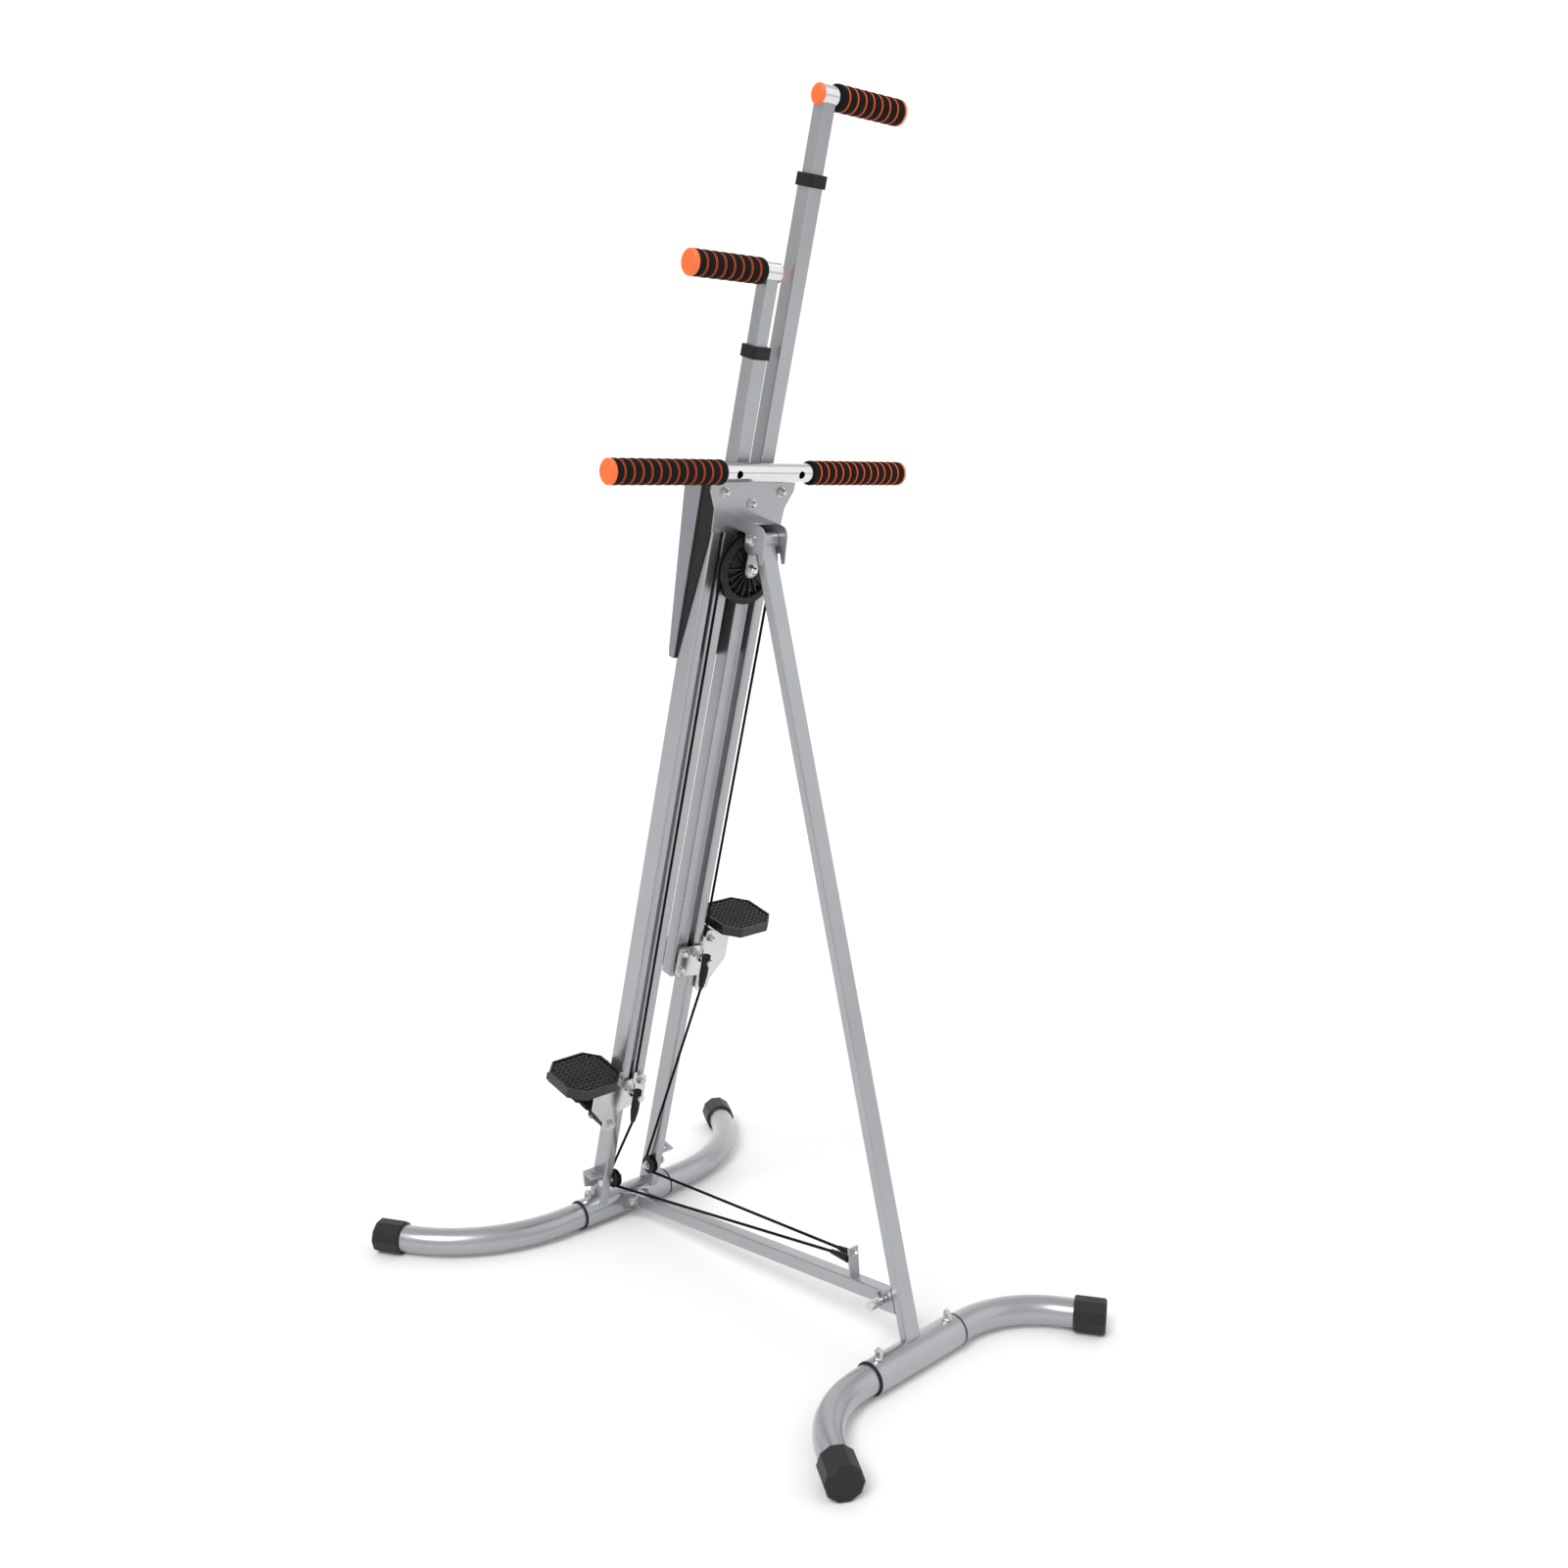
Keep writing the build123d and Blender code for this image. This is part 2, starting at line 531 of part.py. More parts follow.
# ---- spoked pulley for the lift cord
RIBS = 18
HUB_RADIUS = 15.0
RIM_INNER = 50.0
WEB_THICK = 5.0
pulley_plane = Plane(origin=point(0, PULLEY_N, PULLEY_T), x_dir=(1, 0, 0), z_dir=FRONT)
half = PULLEY_WIDTH / 2
with BuildPart() as pulley:
    with BuildSketch(pulley_plane.offset(-half)):
        Circle(PULLEY_RADIUS)
        Circle(RIM_INNER, mode=Mode.SUBTRACT)
        Circle(HUB_RADIUS)
    extrude(amount=PULLEY_WIDTH)
    with BuildSketch(pulley_plane.offset(-WEB_THICK / 2)):
        Circle(RIM_INNER + 1)
    extrude(amount=WEB_THICK)
    with BuildSketch(pulley_plane.offset(-half + 1.5)):
        with PolarLocations((HUB_RADIUS + RIM_INNER) / 2, RIBS):
            Rectangle(RIM_INNER - HUB_RADIUS + 2, 2.6)
    extrude(amount=PULLEY_WIDTH - 3)
    with BuildSketch(pulley_plane.offset(-half)):
        with PolarLocations(RIM_INNER - 5, RIBS, start_angle=180 / RIBS):
            Circle(4)
        Circle(AXLE_RADIUS + RUNNING_GAP)
    extrude(amount=PULLEY_WIDTH, mode=Mode.SUBTRACT)
    with BuildSketch(Plane(origin=pulley_plane.origin, x_dir=(1, 0, 0), z_dir=UP)):
        with Locations((CORD_PITCH_RADIUS, 0)):
            Circle(CORD_RADIUS + CORD_GAP)
        with Locations((CORD_PITCH_RADIUS + 4, 0)):
            Rectangle(8, 2 * (CORD_RADIUS + CORD_GAP))
    revolve(axis=Axis(pulley_plane.origin, FRONT), mode=Mode.SUBTRACT)
pulley.part.label = "lift_pulley"
export_step(pulley.part, "parts/lift_pulley.step")

# ---- lift cord: from one carriage, over the pulley, to the other
with BuildPart() as lift_cord:
    with BuildLine(face(PULLEY_N)) as route:
        Line((-CORD_PITCH_RADIUS, LEFT_T + FERRULE_TOP), (-CORD_PITCH_RADIUS, PULLEY_T))
        ThreePointArc((-CORD_PITCH_RADIUS, PULLEY_T), (0, PULLEY_T + CORD_PITCH_RADIUS),
                      (CORD_PITCH_RADIUS, PULLEY_T))
        Line((CORD_PITCH_RADIUS, PULLEY_T), (CORD_PITCH_RADIUS, RIGHT_T + FERRULE_TOP))
    with BuildSketch(across(LEFT_T + FERRULE_TOP, x=-CORD_PITCH_RADIUS, n=PULLEY_N)):
        Circle(CORD_RADIUS)
    sweep(path=route.wire())
lift_cord.part.label = "lift_cord"
export_step(lift_cord.part, "parts/lift_cord.step")

# ---- stretch cords: from each carriage down, under its pulley and forward to the anchor
for side, hand, carriage_t in SIDES:
    with BuildPart() as stretch_cord:
        top = point(hand * CORD_PITCH_RADIUS, BOOT_N, carriage_t + BOOT_TIP_T - 4 * CORD_GAP)
        centre = point(hand * LOW_PULLEY_X, LOW_PULLEY_N, LOW_PULLEY_T)
        far = Vector(hand * ANCHOR_BOOT_X, ANCHOR_Y + ANCHOR_BOOT_REACH + 2 * CORD_GAP, ANCHOR_BOOT_Z - 2)
        # the corner where the two straight runs would meet, both touching the pitch circle
        reach = Vector(0, top.Y - centre.Y, top.Z - centre.Z)
        run = Vector(0, far.Y - centre.Y, far.Z - centre.Z)
        climb = atan2(reach.Z, reach.Y) + asin(LOW_PITCH_RADIUS / reach.length)
        sink = atan2(run.Z, run.Y) - asin(LOW_PITCH_RADIUS / run.length)
        bisector = (climb + sink) / 2 + pi
        corner_reach = LOW_PITCH_RADIUS / sin((sink - climb) / 2)
        corner = centre + Vector(0, cos(bisector), sin(bisector)) * corner_reach
        with BuildLine() as stretch_route:
            FilletPolyline(top, corner, far, radius=LOW_PITCH_RADIUS)
        with BuildSketch(Plane(origin=top, z_dir=corner - top)):
            Circle(STRETCH_RADIUS)
        sweep(path=stretch_route.wire())
    stretch_cord.part.label = f"{side}_stretch_cord"
    export_step(stretch_cord.part, f"parts/{side}_stretch_cord.step")

# ---- shroud behind the top of the rails: a dark liner inside a light outer shell
LINER_IN = RAIL_X + RAIL_WIDTH / 2 + 0.3
LINER_WALL = 2.2
SHROUD_BOTTOM = 1165.0
SHROUD_TOP = 1494.0
LINER_BACK = PLATE_FRONT + 12.0
with BuildPart() as liner:
    for hand in (-1, 1):
        x = LINER_IN + LINER_WALL if hand > 0 else -LINER_IN
        with BuildSketch(side_plane(x)):
            with BuildLine():
                Polyline((-LINER_BACK, SHROUD_BOTTOM), (-LINER_BACK, SHROUD_TOP), (18, SHROUD_TOP),
                         (18, 1405), (-17, SHROUD_BOTTOM), (-LINER_BACK, SHROUD_BOTTOM))
            make_face()
        extrude(amount=LINER_WALL)
    with BuildSketch(face(-LINER_BACK)):
        with Locations((0, (SHROUD_BOTTOM + SHROUD_TOP) / 2)):
            Rectangle(2 * LINER_IN, SHROUD_TOP - SHROUD_BOTTOM)
    extrude(amount=LINER_WALL)
liner.part.label = "shroud_liner"
export_step(liner.part, "parts/shroud_liner.step")

SHELL_GAP = 0.3
SHELL_WALL = 2.5
SHELL_SIDE = LINER_IN + LINER_WALL + SHELL_GAP
SHELL_DEEP_TOP = 72.0
SHELL_DEEP_BOTTOM = 44.0
with BuildPart() as shell:
    with BuildSketch(side_plane(SHELL_SIDE + SHELL_WALL)):
        with BuildLine():
            Polyline((-20, SHROUD_BOTTOM - 2), (-SHELL_DEEP_BOTTOM + 12, SHROUD_BOTTOM - 2),
                     (-SHELL_DEEP_BOTTOM, SHROUD_BOTTOM + 14), (-SHELL_DEEP_TOP, SHROUD_TOP - 14),
                     (-SHELL_DEEP_TOP + 12, SHROUD_TOP + 2), (-20, SHROUD_TOP + 2), (-20, SHROUD_BOTTOM - 2))
        make_face()
    extrude(amount=2 * (SHELL_SIDE + SHELL_WALL))
    fillet(shell.edges().filter_by(lambda e: e.length > 250).group_by(Axis.Y)[-1], 12)
    with BuildSketch(side_plane(SHELL_SIDE)):
        with BuildLine():
            Polyline((-10, SHROUD_BOTTOM), (-LINER_BACK - SHELL_GAP, SHROUD_BOTTOM),
                     (-SHELL_DEEP_BOTTOM + SHELL_WALL, SHROUD_BOTTOM + 14),
                     (-SHELL_DEEP_TOP + SHELL_WALL, SHROUD_TOP - 14), (-LINER_BACK - 20, SHROUD_TOP),
                     (-10, SHROUD_TOP), (-10, SHROUD_BOTTOM))
        make_face()
    extrude(amount=2 * SHELL_SIDE, mode=Mode.SUBTRACT)
shell.part.label = "shroud_shell"
export_step(shell.part, "parts/shroud_shell.step")

# ---- carriages, pedals, posts and handles
for side, hand, carriage_t in SIDES:
    with BuildPart() as plates:
        for n in (CARRIAGE_PLATE_N, -CARRIAGE_PLATE_N - CARRIAGE_PLATE_THICK):
            with BuildSketch(face(n)):
                with BuildSketch(mode=Mode.PRIVATE) as outer_strip:
                    with Locations(*[(hand * ROLLER_X, carriage_t + t) for t in ROLLER_T]):
                        Circle(LOBE_RADIUS)
                    make_hull()
                with BuildSketch(mode=Mode.PRIVATE) as inner_lobe:
                    with Locations(*[(hand * POST_X, carriage_t + t) for t in POST_BOLT_T]):
                        Circle(POST_LOBE_RADIUS)
                    with Locations((hand * ROLLER_X, carriage_t + 20), (hand * ROLLER_X, carriage_t - 20)):
                        Circle(LOBE_RADIUS - 4)
                    make_hull()
                add(outer_strip.sketch_local)
                add(inner_lobe.sketch_local)
            extrude(amount=CARRIAGE_PLATE_THICK)
        with BuildSketch(face(-2 * CARRIAGE_PLATE_N)):
            with Locations(*[(hand * ROLLER_X, carriage_t + t) for t in ROLLER_T]):
                Circle(BOLT_RADIUS + 0.2)
            with Locations(*[(hand * POST_X, carriage_t + t) for t in POST_BOLT_T]):
                Circle(BOLT_RADIUS + 0.2)
        extrude(amount=4 * CARRIAGE_PLATE_N, mode=Mode.SUBTRACT)
        for n, outline in ((CARRIAGE_PLATE_N, FRONT_GUSSET), (-PLATES_OUT, BACK_GUSSET)):
            with BuildSketch(face(n)):
                with BuildLine():
                    Polyline(*[(hand * x, carriage_t + t) for x, t in outline], close=True)
                make_face()
            extrude(amount=CARRIAGE_PLATE_THICK)
        with BuildSketch(across(carriage_t + PEDAL_TOP - PEDAL_THICK - CARRIAGE_PLATE_THICK)):
            with Locations((hand * (GUSSET_IN + GUSSET_OUT) / 2, 0)):
                Rectangle(GUSSET_OUT - GUSSET_IN, 2 * CARRIAGE_PLATE_N)
        extrude(amount=CARRIAGE_PLATE_THICK)
    plates.part.label = f"{side}_carriage"
    export_step(plates.part, f"parts/{side}_carriage.step")

    with BuildPart() as carriage_bolts:
        for t in ROLLER_T:
            bolt(point(hand * ROLLER_X, -PLATES_OUT, carriage_t + t),
                 point(hand * ROLLER_X, PLATES_OUT, carriage_t + t))
            for end in (-1, 1):
                rod(point(hand * ROLLER_X, end * (ROLLER_WIDTH / 2 + 0.3), carriage_t + t),
                    point(hand * ROLLER_X, end * CARRIAGE_PLATE_N, carriage_t + t), 7)
        for t in POST_BOLT_T:
            bolt(point(hand * POST_X, -PLATES_OUT, carriage_t + t),
                 point(hand * POST_X, PLATES_OUT, carriage_t + t))
            for end in (-1, 1):
                rod(point(hand * POST_X, end * POST_SIZE / 2, carriage_t + t),
                    point(hand * POST_X, end * CARRIAGE_PLATE_N, carriage_t + t), 7)
        stud = carriage_t + STUD_T
        rod(point(hand * STUD_X, PLATES_OUT, stud), point(hand * STUD_X, STUD_END, stud), BOLT_RADIUS)
        disc(spot(hand * STUD_X, PLATES_OUT, stud), HEAD_RADIUS, 4, 6)
        disc(spot(hand * STUD_X, STUD_END, stud), HEAD_RADIUS, 4, 6)
    carriage_bolts.part.label = f"{side}_carriage_bolts"
    export_step(carriage_bolts.part, f"parts/{side}_carriage_bolts.step")

    for name, t in zip(("upper", "lower"), ROLLER_T):
        with BuildPart() as roller:
            centre = point(hand * ROLLER_X, -ROLLER_WIDTH / 2, carriage_t + t)
            with BuildSketch(Plane(origin=centre, x_dir=(1, 0, 0), z_dir=FRONT)):
                Circle(ROLLER_RADIUS)
                Circle(BOLT_RADIUS + RUNNING_GAP, mode=Mode.SUBTRACT)
            extrude(amount=ROLLER_WIDTH)
            chamfer(roller.edges().filter_by(GeomType.CIRCLE).sort_by(SortBy.RADIUS)[-2:], 1.5)
        roller.part.label = f"{side}_{name}_roller"
        export_step(roller.part, f"parts/{side}_{name}_roller.step")

    with BuildPart() as slide_pad:
        with BuildSketch(across(carriage_t - 20)):
            with Locations((hand * (PAD_IN + PAD_OUT) / 2, 0)):
                Rectangle(PAD_OUT - PAD_IN, 24)
        extrude(amount=PAD_HEIGHT)
        for x, t in BUMPERS:
            rod(point(hand * x, -CARRIAGE_PLATE_N, carriage_t + t),
                point(hand * x, -CARRIAGE_PLATE_N + BUMPER_LENGTH, carriage_t + t), BUMPER_RADIUS)
    slide_pad.part.label = f"{side}_slide_pad"
    export_step(slide_pad.part, f"parts/{side}_slide_pad.step")

    with BuildPart() as pedal:
        pedal_x = hand * (PEDAL_IN + PEDAL_OUT) / 2
        pedal_n = (PEDAL_FRONT + PEDAL_BACK) / 2
        length, width = PEDAL_FRONT - PEDAL_BACK, PEDAL_OUT - PEDAL_IN
        underside = across(carriage_t + PEDAL_TOP - PEDAL_THICK, pedal_x, pedal_n)
        with BuildSketch(underside) as octagon:
            Rectangle(width, length)
            chamfer(octagon.vertices(), PEDAL_CORNER)
        extrude(amount=PEDAL_THICK)
        fillet(pedal.edges().filter_by(Axis(COLUMN_FOOT, UP)), 6)
        with BuildSketch(underside) as hollow:
            Rectangle(width - 2 * PEDAL_WALL, length - 2 * PEDAL_WALL)
            chamfer(hollow.vertices(), PEDAL_CORNER)
        extrude(amount=PEDAL_THICK - PEDAL_RECESS - PEDAL_WEB, mode=Mode.SUBTRACT)
        with BuildSketch(underside.offset(PEDAL_THICK - PEDAL_RECESS)) as recess:
            Rectangle(width - 2 * PEDAL_RIM, length - 2 * PEDAL_RIM)
            chamfer(recess.vertices(), PEDAL_CORNER - 0.6 * PEDAL_RIM)
        extrude(amount=PEDAL_RECESS + 1, mode=Mode.SUBTRACT)
        with BuildSketch(underside):
            for n in (CARRIAGE_PLATE_N + 1.5, -CARRIAGE_PLATE_N - 1.5):
                with Locations((0, pedal_n - n)):
                    Rectangle(width - 2, 4)
        extrude(amount=PEDAL_THICK - PEDAL_RECESS - 1)
    pedal.part.label = f"{side}_pedal"
    export_step(pedal.part, f"parts/{side}_pedal.step")

    with BuildPart() as post:
        with BuildSketch(across(carriage_t + POST_BOTTOM, x=hand * POST_X)):
            RectangleRounded(POST_SIZE, POST_SIZE, 3)
            Rectangle(POST_SIZE - 2 * POST_WALL, POST_SIZE - 2 * POST_WALL, mode=Mode.SUBTRACT)
        extrude(amount=POST_TOP - POST_BOTTOM)
        with BuildSketch(face(-POST_SIZE)):
            with Locations(*[(hand * POST_X, carriage_t + t) for t in POST_BOLT_T]):
                Circle(BOLT_RADIUS + 0.2)
        extrude(amount=2 * POST_SIZE, mode=Mode.SUBTRACT)
    post.part.label = f"{side}_post"
    export_step(post.part, f"parts/{side}_post.step")

    with BuildPart() as collar:
        collar_bottom = carriage_t + POST_TOP + COLLAR_LIP - COLLAR_HEIGHT
        with BuildSketch(across(collar_bottom, x=hand * POST_X)):
            RectangleRounded(COLLAR_SIZE, COLLAR_SIZE, 5)
        extrude(amount=COLLAR_HEIGHT)
        fillet(collar.edges().filter_by(GeomType.LINE, reverse=True).sort_by(Axis(COLUMN_FOOT, UP))[-4:], 1)
        with BuildSketch(across(collar_bottom, x=hand * POST_X)):
            RectangleRounded(POST_SIZE, POST_SIZE, 3)
        extrude(amount=COLLAR_HEIGHT - COLLAR_LIP, mode=Mode.SUBTRACT)
        with BuildSketch(across(collar_bottom, x=hand * POST_X)):
            Rectangle(STEM_SIZE + 0.6, STEM_SIZE + 0.6)
        extrude(amount=COLLAR_HEIGHT, mode=Mode.SUBTRACT)
    collar.part.label = f"{side}_collar"
    export_step(collar.part, f"parts/{side}_collar.step")

    with BuildPart() as cord_end:
        ferrule = point(hand * STUD_X, PULLEY_N, carriage_t + FERRULE_TOP)
        rod(point(hand * STUD_X, PULLEY_N, stud + 6), ferrule, 3.6)
        disc(spot(hand * STUD_X, PULLEY_N - 3, stud), 9, 6)
        with BuildSketch(face(PULLEY_N - 6)):
            with Locations((hand * STUD_X, stud)):
                Circle(BOLT_RADIUS + 0.05)
        extrude(amount=12, mode=Mode.SUBTRACT)
    cord_end.part.label = f"{side}_cord_end"
    export_step(cord_end.part, f"parts/{side}_cord_end.step")

    with BuildPart() as boot:
        shoulder = point(hand * STUD_X, BOOT_N, carriage_t + BOOT_SHOULDER_T)
        rod(point(hand * STUD_X, BOOT_N, stud + 11), shoulder, BOOT_RADIUS)
        tip_plane = Plane(origin=shoulder, x_dir=(1, 0, 0), z_dir=UP * -1)
        disc(tip_plane, BOOT_RADIUS, BOOT_SHOULDER_T - BOOT_TIP_T, taper=8)
        with BuildSketch(face(BOOT_N - 12)):
            with Locations((hand * STUD_X, stud)):
                Circle(BOLT_RADIUS + 0.05)
        extrude(amount=24, mode=Mode.SUBTRACT)
    boot.part.label = f"{side}_cord_boot"
    export_step(boot.part, f"parts/{side}_cord_boot.step")

    handle_t = carriage_t + HANDLE_T
    with BuildPart() as stem:
        with BuildSketch(across(carriage_t + STEM_BOTTOM, x=hand * POST_X)):
            RectangleRounded(STEM_SIZE, STEM_SIZE, 2)
            Rectangle(STEM_SIZE - 4, STEM_SIZE - 4, mode=Mode.SUBTRACT)
        extrude(amount=HANDLE_T - STEM_BOTTOM)
        with BuildSketch(side_plane(2 * POST_X)):
            with Locations((0, handle_t)):
                Circle(BAR_RADIUS)
        extrude(amount=4 * POST_X, mode=Mode.SUBTRACT)
    stem.part.label = f"{side}_stem"
    export_step(stem.part, f"parts/{side}_stem.step")

    with BuildPart() as handle:
        start = hand * (HANDLE_OUTER if hand > 0 else HANDLE_INNER)
        with BuildSketch(side_plane(start)):
            with Locations((0, handle_t)):
                Circle(BAR_RADIUS)
        extrude(amount=HANDLE_OUTER - HANDLE_INNER)
        with BuildSketch(side_plane(start)):
            with Locations((0, handle_t)):
                Circle(BAR_RADIUS - BAR_WALL)
        extrude(amount=HANDLE_OUTER - HANDLE_INNER, mode=Mode.SUBTRACT)
    handle.part.label = f"{side}_handle"
    export_step(handle.part, f"parts/{side}_handle.step")

    with BuildPart() as grip:
        start = hand * (HANDLE_OUTER if hand > 0 else HANDLE_GRIP_START)
        with BuildSketch(side_plane(start)):
            with Locations((0, handle_t)):
                Circle(GRIP_RADIUS)
                Circle(BAR_RADIUS, mode=Mode.SUBTRACT)
        extrude(amount=HANDLE_OUTER - HANDLE_GRIP_START)
    grip.part.label = f"{side}_grip"
    export_step(grip.part, f"parts/{side}_grip.step")

    with BuildPart() as handle_caps:
        end_cap(hand * HANDLE_OUTER, 0, handle_t, hand, GRIP_RADIUS - 0.4)
        end_cap(hand * HANDLE_INNER, 0, handle_t, -hand, BAR_RADIUS, 1.5)
    handle_caps.part.label = f"{side}_handle_caps"
    export_step(handle_caps.part, f"parts/{side}_handle_caps.step")

# ---- support leg, hinged at the head and welded to the front base
leg_top = point(0, PIVOT_N, PIVOT_T)
leg_foot = Vector(0, FRONT_Y, TUBE_Z)
leg_run = leg_foot - leg_top
leg_back = leg_run.cross(Vector(1, 0, 0)).normalized()
if leg_back.Y < 0:
    leg_back = leg_back * -1

lock_y, lock_z = LOCK_POINT
to_lock = Vector(0, lock_y, lock_z) - leg_top
face_gap = to_lock.dot(leg_back) - LEG_DEPTH / 2
leg_down = leg_run.normalized()
root = Vector(0, lock_y, lock_z) - leg_back * face_gap
fork_points = [root + leg_down * 22, root + leg_down * 17 + leg_back * (face_gap + 10),
               root + leg_down * 8 + leg_back * (face_gap + 16),
               root - leg_down * 9 + leg_back * (face_gap + 16), root - leg_down * 22]
with BuildPart() as leg:
    with BuildSketch(Plane(origin=leg_top, x_dir=(1, 0, 0), z_dir=leg_run)):
        RectangleRounded(LEG_WIDTH, LEG_DEPTH, 3)
        Rectangle(LEG_WIDTH - 2 * LEG_WALL, LEG_DEPTH - 2 * LEG_WALL, mode=Mode.SUBTRACT)
    extrude(amount=leg_run.length)
    # the fork's plates are open hooks, so that the beam lifts out together with its pin
    for x in (-LUG_IN - LUG_THICK, LUG_IN):
        with BuildSketch(upright(x)):
            with BuildLine():
                Polyline(*[(p.Y, p.Z) for p in fork_points], close=True)
            make_face()
            with BuildSketch(mode=Mode.PRIVATE) as mouth:
                with Locations(LOCK_POINT):
                    Circle(PIN_RADIUS + 0.8)
                with Locations((lock_y + 20, lock_z + 34)):
                    Circle(PIN_RADIUS + 6)
                make_hull()
            add(mouth.sketch_local, mode=Mode.SUBTRACT)
        extrude(amount=LUG_THICK)
    with BuildSketch(Plane(origin=leg_foot - Vector(LEG_WIDTH, 0, 0), z_dir=(1, 0, 0))):
        Circle(SLEEVE_RADIUS)
    extrude(amount=2 * LEG_WIDTH, mode=Mode.SUBTRACT)
    with BuildSketch(Plane(origin=leg_top - Vector(BARREL_HALF, 0, 0), z_dir=(1, 0, 0))):
        Circle(BARREL_RADIUS)
    extrude(amount=2 * BARREL_HALF)
    with BuildSketch(Plane(origin=leg_top - Vector(BARREL_HALF, 0, 0), z_dir=(1, 0, 0))):
        Circle(AXLE_RADIUS + RUNNING_GAP)
    extrude(amount=2 * BARREL_HALF, mode=Mode.SUBTRACT)
leg.part.label = "support_leg"
export_step(leg.part, "parts/support_leg.step")

# ---- base beam with its cord anchor
beam_start = Vector(0, *BEAM_PIVOT)
beam_finish = Vector(0, *LOCK_POINT)
beam_along = (beam_finish - beam_start).normalized()
beam_up = Vector(0, 0, 1) - beam_along * beam_along.Z
beam_up = beam_up.normalized()
beam_length = (beam_finish - beam_start).length
anchor_root = beam_start + beam_along * ((ANCHOR_Y - beam_start.Y) / beam_along.Y) + beam_up * BEAM_SIZE / 2
anchor_height = ANCHOR_TOP - anchor_root.Z
anchor_hole = anchor_root + beam_up * (anchor_height - ANCHOR_BOLT_DROP)
with BuildPart() as beam:
    beam_plane = Plane(origin=beam_start - beam_along * BEAM_END, x_dir=(1, 0, 0), z_dir=beam_along)
    with BuildSketch(beam_plane):
        RectangleRounded(BEAM_SIZE, BEAM_SIZE, 2.5)
        Rectangle(BEAM_SIZE - 2 * BEAM_WALL, BEAM_SIZE - 2 * BEAM_WALL, mode=Mode.SUBTRACT)
    extrude(amount=beam_length + 1.7 * BEAM_END)
    with BuildSketch(upright(-BEAM_SIZE)):
        with Locations(BEAM_PIVOT, LOCK_POINT):
            Circle(AXLE_RADIUS + RUNNING_GAP)
    extrude(amount=2 * BEAM_SIZE, mode=Mode.SUBTRACT)
    with BuildSketch(Plane(origin=anchor_root, x_dir=(1, 0, 0), z_dir=beam_up)):
        RectangleRounded(ANCHOR_WIDTH, ANCHOR_THICK, 1)
    extrude(amount=anchor_height)
    with BuildSketch(Plane(origin=anchor_hole, x_dir=(1, 0, 0), z_dir=beam_along)):
        Circle(ANCHOR_BOLT_RADIUS + 0.2)
    extrude(amount=ANCHOR_THICK, both=True, mode=Mode.SUBTRACT)
beam.part.label = "base_beam"
export_step(beam.part, "parts/base_beam.step")

with BuildPart() as anchor_boots:
    for hand in (-1, 1):
        back = Vector(hand * ANCHOR_BOOT_X, ANCHOR_Y + 6.8, ANCHOR_BOOT_Z)
        front = Vector(hand * ANCHOR_BOOT_X, ANCHOR_Y + ANCHOR_BOOT_REACH, ANCHOR_BOOT_Z - 2)
        disc(Plane(origin=back, z_dir=front - back), 7.5, (front - back).length, taper=5)
anchor_boots.part.label = "anchor_boots"
export_step(anchor_boots.part, "parts/anchor_boots.step")

with BuildPart() as anchor_bolt:
    bolt(anchor_hole - beam_along * ANCHOR_THICK / 2, anchor_hole + beam_along * ANCHOR_THICK / 2,
         radius=ANCHOR_BOLT_RADIUS, head=5.0, head_height=3.0)
anchor_bolt.part.label = "anchor_bolt"
export_step(anchor_bolt.part, "parts/anchor_bolt.step")

with BuildPart() as lock_pin:
    rod(Vector(-50, *LOCK_POINT), Vector(LUG_IN + LUG_THICK + 6, *LOCK_POINT), PIN_RADIUS)
    rod(Vector(-50, *LOCK_POINT), Vector(-26, *LOCK_POINT), 8)
lock_pin.part.label = "lock_pin"
export_step(lock_pin.part, "parts/lock_pin.step")
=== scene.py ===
import json
from math import asin, atan2, ceil, cos, pi, radians, sin

import bpy
from mathutils import Euler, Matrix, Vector


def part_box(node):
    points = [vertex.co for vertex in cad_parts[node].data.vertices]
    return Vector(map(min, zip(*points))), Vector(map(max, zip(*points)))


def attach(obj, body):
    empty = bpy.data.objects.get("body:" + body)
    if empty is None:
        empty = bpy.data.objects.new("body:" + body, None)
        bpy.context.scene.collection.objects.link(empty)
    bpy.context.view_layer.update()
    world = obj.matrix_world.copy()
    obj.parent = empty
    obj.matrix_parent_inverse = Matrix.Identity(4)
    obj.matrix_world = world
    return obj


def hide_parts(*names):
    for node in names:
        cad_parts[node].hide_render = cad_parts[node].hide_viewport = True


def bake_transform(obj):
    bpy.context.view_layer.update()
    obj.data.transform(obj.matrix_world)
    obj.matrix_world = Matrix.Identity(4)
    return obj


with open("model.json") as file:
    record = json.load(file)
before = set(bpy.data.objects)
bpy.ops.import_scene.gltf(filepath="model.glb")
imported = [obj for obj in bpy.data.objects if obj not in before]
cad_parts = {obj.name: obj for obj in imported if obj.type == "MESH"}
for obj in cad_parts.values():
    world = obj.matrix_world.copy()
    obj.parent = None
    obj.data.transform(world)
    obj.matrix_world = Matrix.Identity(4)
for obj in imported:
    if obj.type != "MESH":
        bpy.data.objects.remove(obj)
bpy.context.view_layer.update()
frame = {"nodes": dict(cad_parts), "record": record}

# The column leans forward from the rear sleeve's middle: x across, n to the front, t up the rails.
LEAN = radians(15)
UP = Vector((0, -sin(LEAN), cos(LEAN)))
FRONT = Vector((0, -cos(LEAN), -sin(LEAN)))
ACROSS = Vector((1, 0, 0))
COLUMN_FOOT = Vector((0, 0.368, 0.030))


def column(x, n, t):
    """The place at x across, n to the front and t up the column."""
    return COLUMN_FOOT + ACROSS * x + FRONT * n + UP * t


